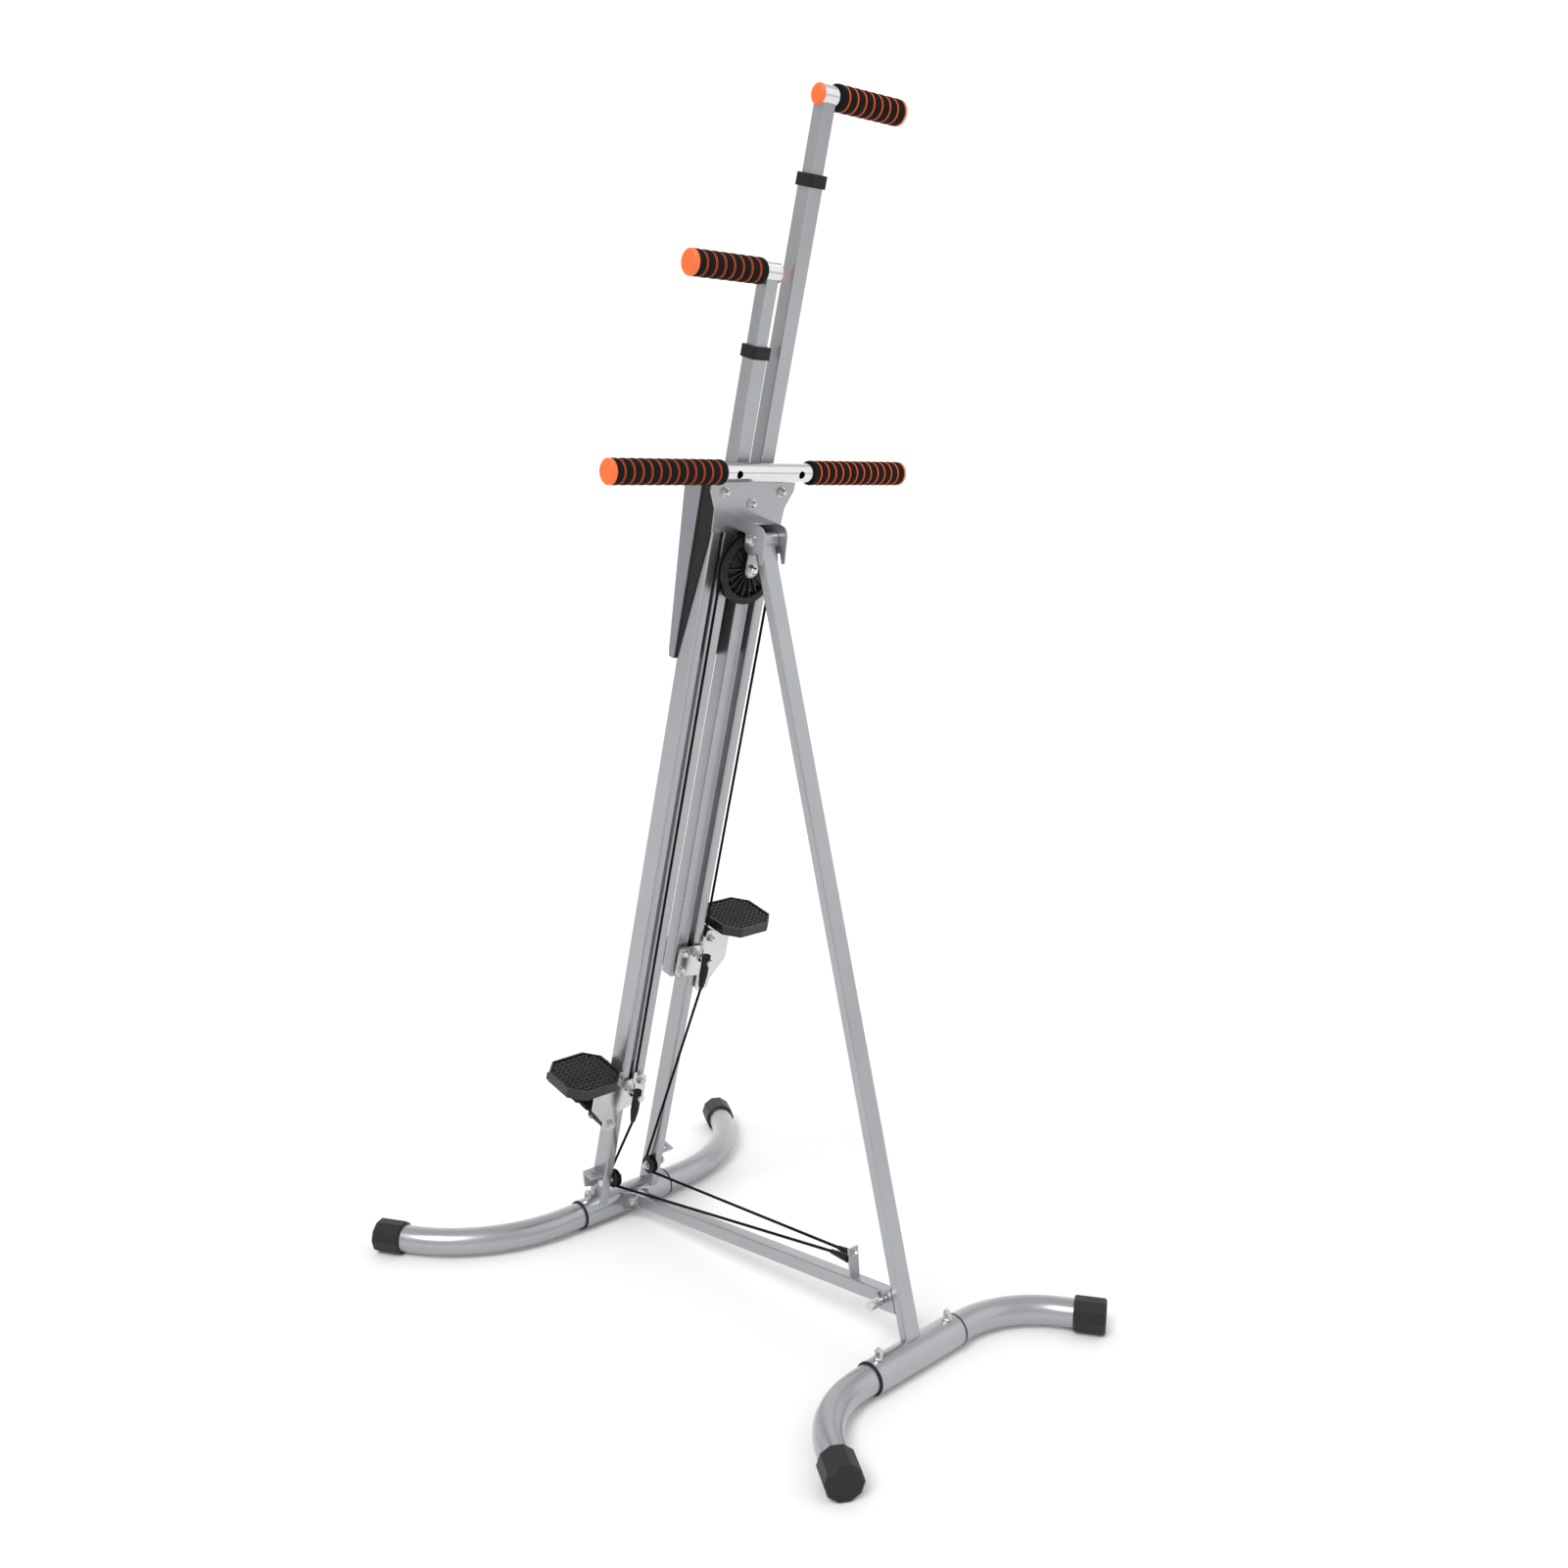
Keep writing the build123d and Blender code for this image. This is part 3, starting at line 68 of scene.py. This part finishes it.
def middle(node):
    """The centre of a CAD node's box."""
    low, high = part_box(node)
    return (Vector(low) + Vector(high)) / 2


# ---------------------------------------------------------------- camera
HEADING = radians(43.9)
PITCH = radians(11.1)
camera_data = bpy.data.cameras.new("camera")
camera_data.lens = 35.0
camera_data.sensor_width = 36.0
camera = bpy.data.objects.new("camera", camera_data)
camera.location = (-1.759, -1.934, 1.452)
camera.rotation_euler = Euler((pi / 2 - PITCH, 0, -HEADING))
bpy.context.scene.collection.objects.link(camera)
bpy.context.scene.camera = camera


# ---------------------------------------------------------------- materials
ROUGH_SPREAD = 0.06
COAT_ROUGHNESS = 0.15
DRIFT_SCALE = 9.0
BUMP_DISTANCE = 0.001


def material(name, color, roughness, metallic=0.0, grain=400.0, bump=0.05, mottle=0.04, coat=0.0,
             specular=0.5):
    """A surface with fine grain in its height and slow drift in its colour and roughness."""
    surface = bpy.data.materials.new(name)
    surface.use_nodes = True
    nodes = surface.node_tree.nodes
    links = surface.node_tree.links
    shader = nodes["Principled BSDF"]
    shader.inputs["Metallic"].default_value = metallic
    shader.inputs["Specular IOR Level"].default_value = specular
    shader.inputs["Coat Weight"].default_value = coat
    shader.inputs["Coat Roughness"].default_value = COAT_ROUGHNESS

    place = nodes.new("ShaderNodeTexCoord")

    drift = nodes.new("ShaderNodeTexNoise")
    drift.inputs["Scale"].default_value = DRIFT_SCALE
    drift.inputs["Detail"].default_value = 5.0
    links.new(place.outputs["Object"], drift.inputs["Vector"])

    tint = nodes.new("ShaderNodeValToRGB")
    tint.color_ramp.elements[0].position = 0.3
    tint.color_ramp.elements[1].position = 0.7
    tint.color_ramp.elements[0].color = [c * (1 - mottle) for c in color] + [1]
    tint.color_ramp.elements[1].color = [min(1, c * (1 + mottle)) for c in color] + [1]
    links.new(drift.outputs["Fac"], tint.inputs["Fac"])
    links.new(tint.outputs["Color"], shader.inputs["Base Color"])

    gloss = nodes.new("ShaderNodeMapRange")
    gloss.inputs["To Min"].default_value = max(0.02, roughness - ROUGH_SPREAD)
    gloss.inputs["To Max"].default_value = roughness + ROUGH_SPREAD
    links.new(drift.outputs["Fac"], gloss.inputs["Value"])
    links.new(gloss.outputs["Result"], shader.inputs["Roughness"])

    fine = nodes.new("ShaderNodeTexNoise")
    fine.inputs["Scale"].default_value = grain
    fine.inputs["Detail"].default_value = 3.0
    links.new(place.outputs["Object"], fine.inputs["Vector"])
    height = nodes.new("ShaderNodeBump")
    height.inputs["Strength"].default_value = bump
    height.inputs["Distance"].default_value = BUMP_DISTANCE
    links.new(fine.outputs["Fac"], height.inputs["Height"])
    links.new(height.outputs["Normal"], shader.inputs["Normal"])
    return surface


PAINT = material("silver_paint", (0.38, 0.39, 0.405), 0.29, metallic=0.80, grain=900, bump=0.06, coat=0.3)
CHROME = material("bright_tube", (0.70, 0.70, 0.71), 0.15, metallic=1.0, grain=300, bump=0.03, mottle=0.02)
ZINC = material("zinc", (0.62, 0.62, 0.61), 0.22, metallic=1.0, grain=700, bump=0.10, mottle=0.08)
BLACK = material("black_plastic", (0.008, 0.008, 0.009), 0.42, grain=1300, bump=0.15, mottle=0.15,
                 specular=0.28)
TREAD = material("tread_rubber", (0.008, 0.008, 0.009), 0.30, grain=1500, bump=0.20, mottle=0.15,
                 specular=0.5)
BOOT = material("boot_rubber", (0.006, 0.006, 0.006), 0.55, grain=800, bump=0.20, mottle=0.15, specular=0.25)
CAP = material("cap_plastic", (0.012, 0.013, 0.014), 0.44, grain=1100, bump=0.30, mottle=0.10,
               specular=0.28)
FOAM = material("foam", (0.008, 0.008, 0.008), 0.92, grain=950, bump=0.75, mottle=0.25, specular=0.15)
ORANGE_FOAM = material("orange_foam", (0.83, 0.115, 0.022), 0.85, grain=950, bump=0.60, mottle=0.08,
                       specular=0.2)
ORANGE = material("orange_plastic", (0.92, 0.150, 0.025), 0.50, grain=900, bump=0.15, mottle=0.05)
SHELL = material("shell_plastic", (0.25, 0.245, 0.27), 0.36, metallic=0.35, grain=900, bump=0.10, coat=0.2)
CORD = material("braided_cord", (0.004, 0.004, 0.004), 0.75, grain=1600, bump=0.8, mottle=0.2,
                specular=0.1)

FINISHES = {
    "frame_paint": PAINT,
    "chrome_tube": CHROME,
    "zinc": ZINC,
    "black_plastic": BLACK,
    "black_rubber": BOOT,
    "grey_plastic": CAP,
    "foam": FOAM,
    "orange_plastic": ORANGE,
    "cord": CORD,
    "silver_plastic": SHELL,
}


def paint_cad_nodes():
    """Gives each CAD node the material that its record slot names."""
    for part in frame["record"]["subparts"]:
        node = frame["nodes"][part["node"]]
        for slot in node.material_slots:
            slot.material = FINISHES[part["material_slot"]]
    for side in ("left", "right"):
        for slot in frame["nodes"][f"{side}_pedal"].material_slots:
            slot.material = TREAD


# ---------------------------------------------------------------- mesh helpers
def piece(name, points, faces, materials, face_materials=None, smooth=True):
    """A new mesh object from points and faces."""
    mesh = bpy.data.meshes.new(name)
    mesh.from_pydata(points, [], faces)
    for surface in materials:
        mesh.materials.append(surface)
    if face_materials:
        mesh.polygons.foreach_set("material_index", face_materials)
    mesh.polygons.foreach_set("use_smooth", [smooth] * len(mesh.polygons))
    mesh.update()
    thing = bpy.data.objects.new(name, mesh)
    bpy.context.scene.collection.objects.link(thing)
    return thing


def lathe(start, axis, profile, sides):
    """Points and faces of a closed profile of (along, radius) turned about an axis."""
    axis = axis.normalized()
    first = axis.orthogonal().normalized()
    second = axis.cross(first)
    points = []
    for along, radius in profile:
        for k in range(sides):
            angle = 2 * pi * k / sides
            points.append(start + axis * along + (first * cos(angle) + second * sin(angle)) * radius)
    faces = []
    rings = len(profile)
    for i in range(rings):
        after = (i + 1) % rings
        for k in range(sides):
            beside = (k + 1) % sides
            faces.append((i * sides + k, i * sides + beside, after * sides + beside, after * sides + k))
    return points, faces


# ---------------------------------------------------------------- ribbed foam grips
TUBE_RADIUS = 0.0160
FOAM_RADIUS = 0.0206
RING_RADIUS = 0.0198
RING_SHARE = 0.22
GRIP_SIDES = 56
RIB_STEPS = 7
RIB_SWELL = 0.0012
END_ROUNDING = 0.0016
RING_EDGE = 0.0002
RING_CROWN = 0.0003
FIXED_GRIP_START = 0.098
FIXED_GRIP_RIBS = 13
MOVING_GRIP_RIBS = 8


def ribbed_grip(name, start, outward, length, rings, body):
    """Black foam ribs with an orange ring between each two, over a tube."""
    pitch = length / rings
    ring = pitch * RING_SHARE
    rib = pitch - ring
    outline = [(0.0, TUBE_RADIUS, False), (0.0, FOAM_RADIUS - END_ROUNDING, False)]
    for k in range(rings):
        left = k * pitch
        for s in range(RIB_STEPS + 1):
            share = s / RIB_STEPS
            swell = (1 - (2 * share - 1) ** 4) * RIB_SWELL
            outline.append((left + rib * share, FOAM_RADIUS - RIB_SWELL + swell, False))
        if k < rings - 1:
            outline.append((left + rib + RING_EDGE, RING_RADIUS - RIB_SWELL, False))
            outline.append((left + rib + ring * 0.2, RING_RADIUS, True))
            outline.append((left + rib + ring * 0.5, RING_RADIUS + RING_CROWN, True))
            outline.append((left + rib + ring * 0.8, RING_RADIUS, True))
            outline.append((left + pitch - RING_EDGE, RING_RADIUS - RIB_SWELL, True))
    end = (rings - 1) * pitch + rib
    scale = length / end
    outline.append((end, TUBE_RADIUS, False))
    profile = [(along * scale, radius) for along, radius, _ in outline]
    points, faces = lathe(start, outward, profile, GRIP_SIDES)
    orange = []
    for i in range(len(outline)):
        both = outline[i][2] or outline[(i + 1) % len(outline)][2]
        orange += [1 if both and outline[i][1] < FOAM_RADIUS - 0.0005 else 0] * GRIP_SIDES
    grip = piece(name, points, faces, [FOAM, ORANGE_FOAM], orange)
    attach(grip, body)
    return grip


def grips():
    """The two long grips of the fixed bar and the short one on each moving handle."""
    bar = middle("fixed_grips")
    bar_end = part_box("fixed_grips")[1][0]
    for side, hand in (("left", -1), ("right", 1)):
        start = Vector((hand * FIXED_GRIP_START, bar.y, bar.z))
        fixed = ribbed_grip(f"{side}_fixed_foam", start, ACROSS * hand, bar_end - FIXED_GRIP_START,
                            FIXED_GRIP_RIBS, "frame")
        if hand < 0:
            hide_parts("fixed_grips")
        low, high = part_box(f"{side}_grip")
        centre = middle(f"{side}_grip")
        length = high[0] - low[0]
        start = Vector((centre.x - hand * length / 2, centre.y, centre.z))
        moving = ribbed_grip(f"{side}_hand_foam", start, ACROSS * hand, length, MOVING_GRIP_RIBS,
                             f"{side}_hand_post")
        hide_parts(f"{side}_grip")


# ---------------------------------------------------------------- pedal tread
PEDAL_WIDTH = 0.121
PEDAL_LENGTH = 0.113
PEDAL_THICK = 0.019
PEDAL_CORNER = 0.026
TREAD_MARGIN = 0.0040
TREAD_FLOOR = 0.0041
RIDGE_PITCH = 0.0100
RIDGE_WAVE = 0.0125
RIDGE_SWING = 0.0030
RIDGE_HEIGHT = 0.0039
TREAD_STEP = 0.0009
TREAD_CORNER_TRIM = 0.002
MAT_BASE = 0.0004
EDGE_FADE = 0.003


def triangle_wave(value):
    """A zigzag between -1 and 1, once for each unit of value."""
    return 4 * abs(value - round(value)) - 1


def pedal_tread(side):
    """Zigzag ridges standing in the recess of a pedal, as a closed mat with a flat underside."""
    centre = middle(f"{side}_pedal")
    top = PEDAL_THICK / 2
    half_width = PEDAL_WIDTH / 2 - TREAD_MARGIN
    half_length = PEDAL_LENGTH / 2 - TREAD_MARGIN
    corner = PEDAL_CORNER - TREAD_CORNER_TRIM
    columns = ceil(2 * half_width / TREAD_STEP)
    rows = ceil(2 * half_length / TREAD_STEP)
    points = []
    for j in range(rows + 1):
        n = -half_length + 2 * half_length * j / rows
        reach = min(half_width, half_width + half_length - corner - abs(n))
        for i in range(columns + 1):
            x = -reach + 2 * reach * i / columns
            phase = (n + RIDGE_SWING * triangle_wave(x / RIDGE_WAVE)) / RIDGE_PITCH
            ridge = min(1.0, max(0.0, 0.5 + 0.95 * triangle_wave(phase)))
            edge = min(reach - abs(x), half_length - abs(n))
            ridge *= min(1.0, max(0.0, edge / EDGE_FADE))
            rise = top - TREAD_FLOOR + RIDGE_HEIGHT * (0.08 + 0.92 * ridge)
            points.append(centre + ACROSS * x + FRONT * n + UP * rise)
    width = columns + 1
    count = len(points)
    for j in range(rows + 1):
        n = -half_length + 2 * half_length * j / rows
        reach = min(half_width, half_width + half_length - corner - abs(n))
        for i in (0, columns):
            x = -reach + 2 * reach * i / columns
            points.append(centre + ACROSS * x + FRONT * n + UP * (top - TREAD_FLOOR - MAT_BASE))
    faces = []
    for j in range(rows):
        for i in range(columns):
            a = j * width + i
            faces.append((a, a + width, a + width + 1, a + 1))
        left, left_next = count + 2 * j, count + 2 * j + 2
        right, right_next = left + 1, left_next + 1
        faces.append((left, left_next, (j + 1) * width, j * width))
        faces.append((right, j * width + columns, (j + 1) * width + columns, right_next))
        faces.append((left, right, right_next, left_next))
    faces.append(tuple(range(width)) + (count + 1, count))
    last = rows * width
    faces.append((count + 2 * rows, count + 2 * rows + 1) + tuple(range(last + columns, last - 1, -1)))
    mat = piece(f"{side}_pedal_tread", points, faces, [TREAD], smooth=False)
    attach(mat, f"{side}_climber")


# ---------------------------------------------------------------- cords
CORD_RADIUS = 0.0025
CORD_OFFSET = 0.0585
CORD_FRONT = 0.0395
PULLEY_HEIGHT = 1.340
CORD_ENDS = {"left": 0.347, "right": 0.615}
STRETCH_RADIUS = 0.0026
STRETCH_TOPS = {"left": 0.2418, "right": 0.5098}
STRETCH_FRONT = 0.054
LOW_PULLEY = (0.046, 0.015, 0.077)
LOW_PITCH_RADIUS = 0.015
ANCHOR_END = (0.009, -0.2334, 0.148)
RUN_STEPS = 40
WRAP_STEPS = 16
CORD_SIDES = 14


def tube(name, path, radius, flat):
    """A round cord along a path that lies in the plane square to flat."""
    points = []
    for i, place in enumerate(path):
        along = (path[min(i + 1, len(path) - 1)] - path[max(i - 1, 0)]).normalized()
        first = (flat - along * flat.dot(along)).normalized()
        second = along.cross(first)
        for k in range(CORD_SIDES):
            angle = 2 * pi * k / CORD_SIDES
            points.append(place + (first * cos(angle) + second * sin(angle)) * radius)
    faces = [tuple(reversed(range(CORD_SIDES)))]
    for i in range(len(path) - 1):
        for k in range(CORD_SIDES):
            beside = (k + 1) % CORD_SIDES
            low, high = i * CORD_SIDES, (i + 1) * CORD_SIDES
            faces.append((low + k, low + beside, high + beside, high + k))
    faces.append(tuple(range((len(path) - 1) * CORD_SIDES, len(path) * CORD_SIDES)))
    cord = piece(name, points, faces, [CORD])
    return cord


def straight(start, end):
    """Evenly spaced places from start to end."""
    return [start.lerp(end, k / RUN_STEPS) for k in range(RUN_STEPS + 1)]


def lift_cord():
    """The cord over the top pulley: a fixed arc, and a run down to each carriage."""
    arc = []
    for k in range(2 * WRAP_STEPS + 1):
        angle = pi - pi * k / (2 * WRAP_STEPS)
        arc.append(column(CORD_OFFSET * cos(angle), CORD_FRONT, PULLEY_HEIGHT + CORD_OFFSET * sin(angle)))
    wrap = tube("lift_cord_arc", arc, CORD_RADIUS, FRONT)
    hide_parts("lift_cord")
    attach(wrap, "frame")
    for side, hand in (("left", -1), ("right", 1)):
        high = column(hand * CORD_OFFSET, CORD_FRONT, PULLEY_HEIGHT)
        low = column(hand * CORD_OFFSET, CORD_FRONT, CORD_ENDS[side])
        run = tube(f"{side}_lift_run", straight(high, low), CORD_RADIUS, FRONT)
        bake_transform(run)


def stretch_cord(side, hand):
    """A stretch cord: down from the carriage, round its low pulley, and forward to the anchor."""
    top = column(hand * CORD_OFFSET, STRETCH_FRONT, STRETCH_TOPS[side])
    centre = column(hand * LOW_PULLEY[0], LOW_PULLEY[1], LOW_PULLEY[2])
    far = Vector((hand * ANCHOR_END[0], ANCHOR_END[1], ANCHOR_END[2]))
    reach = top - centre
    run = far - centre
    climb = atan2(reach.z, reach.y) + asin(LOW_PITCH_RADIUS / Vector((reach.y, reach.z)).length)
    sink = atan2(run.z, run.y) - asin(LOW_PITCH_RADIUS / Vector((run.y, run.z)).length)
    # seen from +X the wrap turns down the pulley's rear and under it, to where the forward run leaves
    leave_top = climb - pi / 2
    leave_far = sink + pi / 2 - 2 * pi
    wrap = []
    for k in range(WRAP_STEPS + 1):
        angle = leave_top + (leave_far - leave_top) * k / WRAP_STEPS
        wrap.append(centre + Vector((0, cos(angle), sin(angle))) * LOW_PITCH_RADIUS)
    bend = tube(f"{side}_stretch_wrap", wrap, STRETCH_RADIUS, ACROSS)
    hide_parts(f"{side}_stretch_cord")
    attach(bend, "frame")
    upper = tube(f"{side}_stretch_upper", straight(wrap[0], top), STRETCH_RADIUS, ACROSS)
    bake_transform(upper)
    forward = tube(f"{side}_stretch_forward", straight(wrap[-1], far), STRETCH_RADIUS, ACROSS)
    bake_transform(forward)


# ---------------------------------------------------------------- sleeve mouths
SLEEVE_HALF = 0.105
MOUTH_INNER = 0.0251
MOUTH_OUTER = 0.0286
MOUTH_THICK = 0.0032
MOUTH_ROUNDING = 0.0004
MOUTH_SIDES = 48


def sleeve_rings():
    """A thin black ring where each foot tube leaves its sleeve."""
    bases = (("rear", "frame", COLUMN_FOOT.y), ("front", "leg", middle("front_sleeve").y))
    for base, body, axis_y in bases:
        for side, hand in (("left", -1), ("right", 1)):
            start = Vector((hand * SLEEVE_HALF, axis_y, COLUMN_FOOT.z))
            profile = [(0.0, MOUTH_INNER), (0.0, MOUTH_OUTER), (MOUTH_THICK, MOUTH_OUTER - MOUTH_ROUNDING),
                       (MOUTH_THICK, MOUTH_INNER)]
            points, faces = lathe(start, ACROSS * hand, profile, MOUTH_SIDES)
            ring = piece(f"{base}_{side}_mouth_ring", points, faces, [BLACK])
            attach(ring, body)


# ---------------------------------------------------------------- stage and light
def plain_material(name, color):
    """A matte surface for the floor."""
    return material(name, color, 0.85, grain=60, bump=0.01, mottle=0.004)


def stage():
    """A pale floor that curves up far behind the machine."""
    half = 9.0
    rise_at = 6.0
    radius = 2.0
    outline = [(-half, 0.0), (rise_at, 0.0)]
    for k in range(1, 13):
        angle = k / 12 * pi / 2
        outline.append((rise_at + radius * sin(angle), radius - radius * cos(angle)))
    outline.append((rise_at + radius, 8.0))
    away = Vector((sin(HEADING), cos(HEADING), 0))
    beside = Vector((away.y, -away.x, 0))
    points = []
    for along, high in outline:
        for side in (-half, half):
            points.append(away * along + beside * side + Vector((0, 0, high - 0.0005)))
    faces = [(2 * i, 2 * i + 1, 2 * i + 3, 2 * i + 2) for i in range(len(outline) - 1)]
    floor = piece("floor", points, faces, [plain_material("floor", (0.93, 0.93, 0.93))])


def sun(name, location, spread, strength):
    """A soft light from far off, from the side that location is on."""
    data = bpy.data.lights.new(name, "SUN")
    data.angle = radians(spread)
    data.energy = strength
    lamp = bpy.data.objects.new(name, data)
    lamp.location = location
    lamp.rotation_euler = (-Vector(location)).to_track_quat("-Z", "Y").to_euler()
    bpy.context.scene.collection.objects.link(lamp)


def lights():
    """An even studio: a soft key from the upper left, a weaker fill, and a bright surround."""
    sun("key", (-3.4, -1.2, 4.2), 25, 1.5)
    sun("fill", (2.6, -3.4, 2.6), 60, 0.35)
    world = bpy.data.worlds.new("surround")
    world.use_nodes = True
    background = world.node_tree.nodes["Background"]
    background.inputs["Color"].default_value = (1, 1, 1, 1)
    background.inputs["Strength"].default_value = 0.74
    bpy.context.scene.world = world
    bpy.context.scene.view_settings.view_transform = "Standard"


paint_cad_nodes()
grips()
for side in ("left", "right"):
    pedal_tread(side)
lift_cord()
stretch_cord("left", -1)
stretch_cord("right", 1)
sleeve_rings()
stage()
lights()
